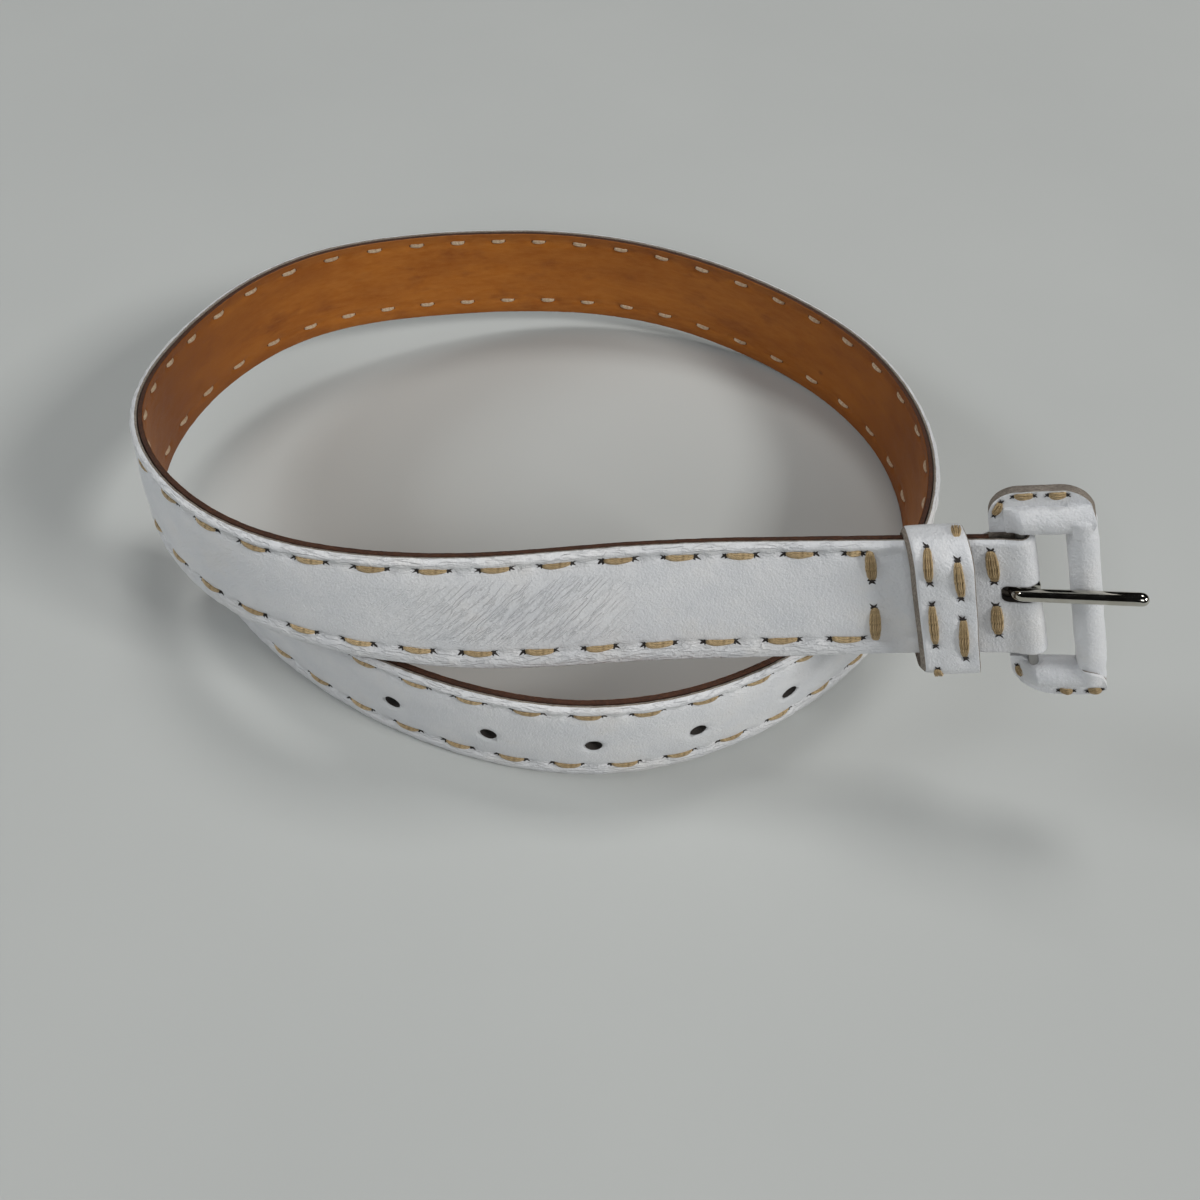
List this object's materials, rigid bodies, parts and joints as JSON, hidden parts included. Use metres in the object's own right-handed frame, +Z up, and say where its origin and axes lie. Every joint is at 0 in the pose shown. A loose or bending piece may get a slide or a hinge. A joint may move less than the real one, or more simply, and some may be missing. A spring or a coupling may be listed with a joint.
{
  "type": "leather waist belt",
  "caption": "Two-layer stitched leather waist belt standing coiled on its edge, with a leather-covered prong buckle and a sliding keeper loop.",
  "frame": {"origin": "on the table, at the middle of the bounding box of the coiled belt", "axes": "+X towards the buckle, +Y towards the far side of the coil, +Z up, away from the table"},
  "size_m": [0.2444, 0.1766, 0.0914],
  "materials": {
    "white_leather": "semi-gloss pebbled white leather",
    "tan_leather": "smooth tan lining leather",
    "thread": "thick waxed tan thread",
    "steel": "plain steel wire, hidden in leather",
    "nickel": "polished nickel plate"
  },
  "bodies": {
    "strap": {"strap_outer": "white_leather", "strap_lining": "tan_leather", "upper_row_thread": "thread", "lower_row_thread": "thread", "cross_thread_front_upper": "thread", "cross_thread_front_lower": "thread", "cross_thread_rear_upper": "thread", "cross_thread_rear_lower": "thread"},
    "buckle": {"buckle_frame": "steel", "side_cover_upper": "white_leather", "side_cover_lower": "white_leather", "side_cover_thread_upper": "thread", "side_cover_thread_lower": "thread", "end_bar_cover": "white_leather"},
    "prong": {"prong": "nickel"},
    "keeper": {"keeper_loop": "white_leather", "keeper_thread_left": "thread", "keeper_thread_right": "thread"}
  },
  "joints": [
    {"name": "buckle_hinge", "type": "hinge", "parent": "strap", "child": "buckle", "pos_m": [0.10068, -0.07129, 0.0618], "axis": [-0.2858, 0.2665, 0.9205], "range_deg": [-10, 100]},
    {"name": "prong_hinge", "type": "hinge", "parent": "buckle", "child": "prong", "pos_m": [0.10068, -0.07129, 0.0618], "axis": [-0.2858, 0.2665, 0.9205], "range_deg": [-75, 0]},
    {"name": "keeper_slide", "type": "slide", "parent": "strap", "child": "keeper", "axis": [-0.9486, 0.1347, -0.2865], "range_m": [-0.0025, 0.0035]}
  ]
}
